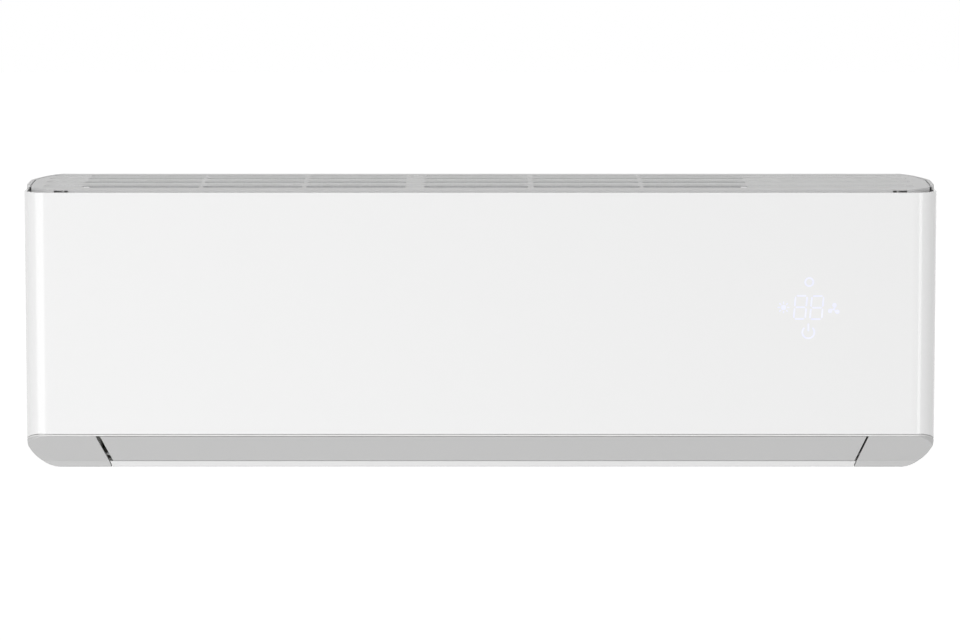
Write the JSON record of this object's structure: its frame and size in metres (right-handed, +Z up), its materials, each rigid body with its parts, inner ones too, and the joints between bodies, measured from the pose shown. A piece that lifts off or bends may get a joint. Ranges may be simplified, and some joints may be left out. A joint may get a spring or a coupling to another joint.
{
  "type": "mini split indoor unit",
  "caption": "Wall-hung split air conditioner indoor unit: gloss front panel, top intake grille, grey louver and end caps, cross-flow fan, coil, swing vanes and steel wall plate.",
  "frame": {"origin": "centre of the four corner screws of the wall plate, on the wall plane", "axes": "+X to the viewer's right along the unit, +Y into the wall, +Z up; the front faces -Y"},
  "size_m": [0.97, 0.225, 0.305],
  "materials": {
    "white_gloss": "high gloss moulded cover",
    "white_cover": "semi gloss moulded cover",
    "white_frame": "fine grained moulding",
    "grey_trim": "satin grey moulding",
    "chassis_plastic": "plain moulding",
    "vane_plastic": "matt moulding",
    "fan_plastic": "glass filled moulding",
    "fin_aluminium": "blue coated fins",
    "galvanised": "zinc spangle",
    "steel": "bright",
    "copper": "drawn tube",
    "brass": "machined",
    "rubber": "moulded",
    "motor_coat": "moulded resin housing",
    "filter_mesh": "fine woven mesh in a frame",
    "board": "lacquered board with parts",
    "black_plastic": "moulded"
  },
  "bodies": {
    "case": {"top_grille": "white_cover", "left_side_cover": "white_cover", "right_side_cover": "white_cover", "bottom_cover": "white_cover", "left_end_cap": "grey_trim", "right_end_cap": "grey_trim", "front_frame": "white_frame", "rear_chassis": "chassis_plastic", "drain_pan": "chassis_plastic", "drain_plug": "rubber", "filter_left": "filter_mesh", "filter_right": "filter_mesh", "coil_front": "fin_aluminium", "coil_upper": "fin_aluminium", "coil_rear": "fin_aluminium", "coil_end_plates": "galvanised", "return_bends": "copper", "gas_pipe": "copper", "liquid_pipe": "copper", "flare_unions": "brass", "pipe_clamp": "black_plastic", "fan_motor": "motor_coat", "motor_rings": "rubber", "motor_clamp": "chassis_plastic", "fan_bearing": "rubber", "louver_motor": "galvanised", "louver_bearings": "black_plastic", "vane_motor": "galvanised", "electrical_box": "black_plastic", "box_cover": "galvanised", "control_board": "board", "terminal_block": "black_plastic", "cable_clamp": "black_plastic", "display_board": "board", "coil_sensor": "copper", "case_screws": "steel", "button_spring": "steel", "wall_plate": "galvanised"},
    "front_door": {"front_panel": "white_gloss", "panel_latches": "white_frame"},
    "air_louver": {"louver": "grey_trim"},
    "fan": {"fan_wheel": "fan_plastic", "fan_shaft": "steel"},
    "run_button": {"auto_button": "white_frame"},
    "vane_link": {"link_bar": "vane_plastic"},
    "vane_drive": {"vane_crank": "black_plastic"},
    "swing_vane_1": {"vane_1": "vane_plastic"},
    "swing_vane_2": {"vane_2": "vane_plastic"},
    "swing_vane_3": {"vane_3": "vane_plastic"},
    "swing_vane_4": {"vane_4": "vane_plastic"},
    "swing_vane_5": {"vane_5": "vane_plastic"},
    "swing_vane_6": {"vane_6": "vane_plastic"},
    "swing_vane_7": {"vane_7": "vane_plastic"},
    "swing_vane_8": {"vane_8": "vane_plastic"},
    "swing_vane_9": {"vane_9": "vane_plastic"},
    "swing_vane_10": {"vane_10": "vane_plastic"},
    "swing_vane_11": {"vane_11": "vane_plastic"},
    "swing_vane_12": {"vane_12": "vane_plastic"}
  },
  "joints": [
    {"name": "panel_hinge", "type": "hinge", "parent": "case", "child": "front_door", "pos_m": [0, -0.207, 0.124], "axis": [-1, 0, 0], "range_deg": [0, 60]},
    {"name": "louver_axis", "type": "hinge", "parent": "case", "child": "air_louver", "pos_m": [0, -0.181, -0.1516], "axis": [1, 0, 0], "range_deg": [0, 70]},
    {"name": "fan_spin", "type": "hinge", "parent": "case", "child": "fan", "pos_m": [0, -0.112, -0.038], "axis": [1, 0, 0], "continuous": true},
    {"name": "button_press", "type": "slide", "parent": "case", "child": "run_button", "axis": [0, 1, 0], "range_m": [0, 0.0012], "stiffness_N_per_m": 500, "springref_m": -0.001, "deforming": ["button_spring"]},
    {"name": "vane_1_swing", "type": "hinge", "parent": "case", "child": "swing_vane_1", "pos_m": [-0.372, -0.12777, -0.12903], "axis": [0, -0.5736, 0.8192], "range_deg": [-40, 40]},
    {"name": "vane_2_swing", "type": "hinge", "parent": "case", "child": "swing_vane_2", "pos_m": [-0.312, -0.12777, -0.12903], "axis": [0, -0.5736, 0.8192], "range_deg": [-40, 40]},
    {"name": "vane_3_swing", "type": "hinge", "parent": "case", "child": "swing_vane_3", "pos_m": [-0.252, -0.12777, -0.12903], "axis": [0, -0.5736, 0.8192], "range_deg": [-40, 40]},
    {"name": "vane_4_swing", "type": "hinge", "parent": "case", "child": "swing_vane_4", "pos_m": [-0.192, -0.12777, -0.12903], "axis": [0, -0.5736, 0.8192], "range_deg": [-40, 40]},
    {"name": "vane_5_swing", "type": "hinge", "parent": "case", "child": "swing_vane_5", "pos_m": [-0.132, -0.12777, -0.12903], "axis": [0, -0.5736, 0.8192], "range_deg": [-40, 40]},
    {"name": "vane_6_swing", "type": "hinge", "parent": "case", "child": "swing_vane_6", "pos_m": [-0.072, -0.12777, -0.12903], "axis": [0, -0.5736, 0.8192], "range_deg": [-40, 40]},
    {"name": "vane_7_swing", "type": "hinge", "parent": "case", "child": "swing_vane_7", "pos_m": [-0.012, -0.12777, -0.12903], "axis": [0, -0.5736, 0.8192], "range_deg": [-40, 40]},
    {"name": "vane_8_swing", "type": "hinge", "parent": "case", "child": "swing_vane_8", "pos_m": [0.048, -0.12777, -0.12903], "axis": [0, -0.5736, 0.8192], "range_deg": [-40, 40]},
    {"name": "vane_9_swing", "type": "hinge", "parent": "case", "child": "swing_vane_9", "pos_m": [0.108, -0.12777, -0.12903], "axis": [0, -0.5736, 0.8192], "range_deg": [-40, 40]},
    {"name": "vane_10_swing", "type": "hinge", "parent": "case", "child": "swing_vane_10", "pos_m": [0.168, -0.12777, -0.12903], "axis": [0, -0.5736, 0.8192], "range_deg": [-40, 40]},
    {"name": "vane_11_swing", "type": "hinge", "parent": "case", "child": "swing_vane_11", "pos_m": [0.228, -0.12777, -0.12903], "axis": [0, -0.5736, 0.8192], "range_deg": [-40, 40]},
    {"name": "vane_12_swing", "type": "hinge", "parent": "case", "child": "swing_vane_12", "pos_m": [0.288, -0.12777, -0.12903], "axis": [0, -0.5736, 0.8192], "range_deg": [-40, 40]},
    {"name": "crank_turn", "type": "hinge", "parent": "case", "child": "vane_drive", "pos_m": [0.348, -0.12777, -0.12903], "axis": [0, -0.5736, 0.8192], "range_deg": [-40, 40]},
    {"name": "link_pivot", "type": "hinge", "parent": "swing_vane_1", "child": "vane_link", "pos_m": [-0.372, -0.14415, -0.1405], "axis": [0, -0.5736, 0.8192], "range_deg": [-40, 40]}
  ],
  "couplings": [
    {"joint": "vane_2_swing", "follows": "vane_1_swing", "ratio": 1},
    {"joint": "vane_3_swing", "follows": "vane_1_swing", "ratio": 1},
    {"joint": "vane_4_swing", "follows": "vane_1_swing", "ratio": 1},
    {"joint": "vane_5_swing", "follows": "vane_1_swing", "ratio": 1},
    {"joint": "vane_6_swing", "follows": "vane_1_swing", "ratio": 1},
    {"joint": "vane_7_swing", "follows": "vane_1_swing", "ratio": 1},
    {"joint": "vane_8_swing", "follows": "vane_1_swing", "ratio": 1},
    {"joint": "vane_9_swing", "follows": "vane_1_swing", "ratio": 1},
    {"joint": "vane_10_swing", "follows": "vane_1_swing", "ratio": 1},
    {"joint": "vane_11_swing", "follows": "vane_1_swing", "ratio": 1},
    {"joint": "vane_12_swing", "follows": "vane_1_swing", "ratio": 1},
    {"joint": "crank_turn", "follows": "vane_1_swing", "ratio": 1},
    {"joint": "link_pivot", "follows": "vane_1_swing", "ratio": -1}
  ]
}
